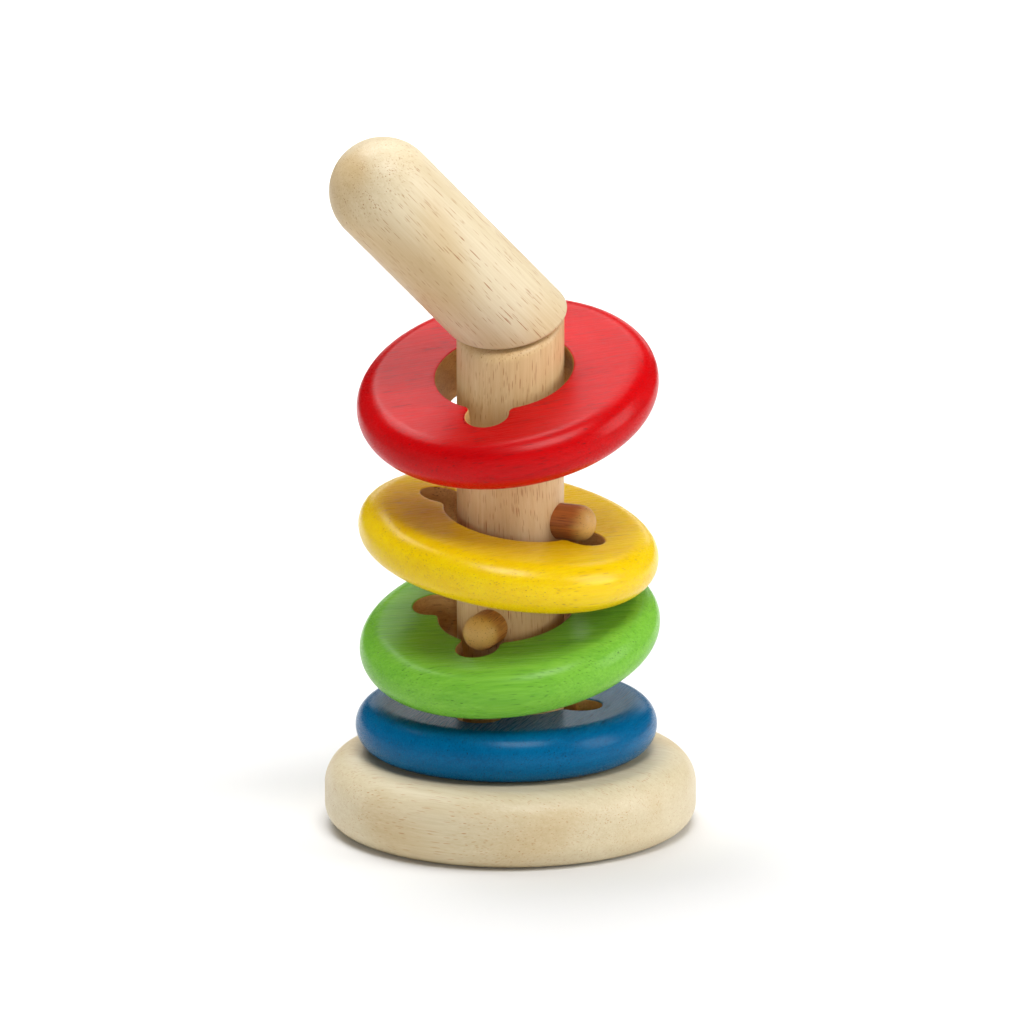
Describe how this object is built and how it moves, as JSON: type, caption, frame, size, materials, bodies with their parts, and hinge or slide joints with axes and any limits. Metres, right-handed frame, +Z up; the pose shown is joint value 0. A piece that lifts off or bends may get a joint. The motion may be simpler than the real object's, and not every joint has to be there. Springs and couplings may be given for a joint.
{
  "type": "stacking ring toy",
  "caption": "Wooden stacking toy: round base, pegged post with a swivelling slanted grip, and coloured rings whose lobed holes turn to pass the pegs.",
  "frame": {"origin": "centre of the base's underside, on the post's axis", "axes": "+Z up along the post; the grip leans towards -X and a little towards -Y"},
  "size_m": [0.12, 0.12, 0.2294],
  "materials": {
    "base_wood": "satin lacquer, face grain",
    "post_wood": "satin lacquer, grain up the post",
    "grip_wood": "satin lacquer, grain along the bar",
    "peg_wood": "brown stain, satin",
    "plug_wood": "satin, end grain",
    "blue_stain": "translucent blue stain, bare wood in the hole",
    "green_stain": "translucent green stain, bare wood in the hole",
    "yellow_stain": "translucent golden stain, bare wood in the hole",
    "red_stain": "translucent red stain, bare wood in the hole",
    "steel": "zinc plated",
    "nylon": "dark nylon"
  },
  "bodies": {
    "stand": {"base_disc": "base_wood", "post": "post_wood", "peg_lower": "peg_wood", "peg_middle": "peg_wood", "peg_upper": "peg_wood", "swivel_pin": "steel", "base_screw": "steel", "screw_washer": "steel", "screw_plug": "plug_wood"},
    "grip": {"top_grip": "grip_wood", "swivel_bush": "nylon"},
    "ring_blue": {"blue_ring": "blue_stain"},
    "ring_green": {"green_ring": "green_stain"},
    "ring_yellow": {"yellow_ring": "yellow_stain"},
    "ring_red": {"red_ring": "red_stain"}
  },
  "joints": [
    {"name": "grip_swivel", "type": "hinge", "parent": "stand", "child": "grip", "pos_m": [0, 0, 0.1667], "axis": [-0.1658, -0.4556, 0.8746], "continuous": true},
    {"name": "blue_ring_spin", "type": "hinge", "parent": "stand", "child": "ring_blue", "pos_m": [-0.0013, 0.002, 0.0325], "axis": [0, 0, 1], "continuous": true},
    {"name": "green_ring_lift", "type": "slide", "parent": "stand", "child": "ring_green", "axis": [0, 0, 1], "range_m": [0, 0.008]},
    {"name": "yellow_ring_lift", "type": "slide", "parent": "ring_green", "child": "ring_yellow", "axis": [0, 0, 1], "range_m": [0, 0.008]},
    {"name": "red_ring_lift", "type": "slide", "parent": "stand", "child": "ring_red", "axis": [0, 0, 1], "range_m": [0, 0.012]}
  ]
}
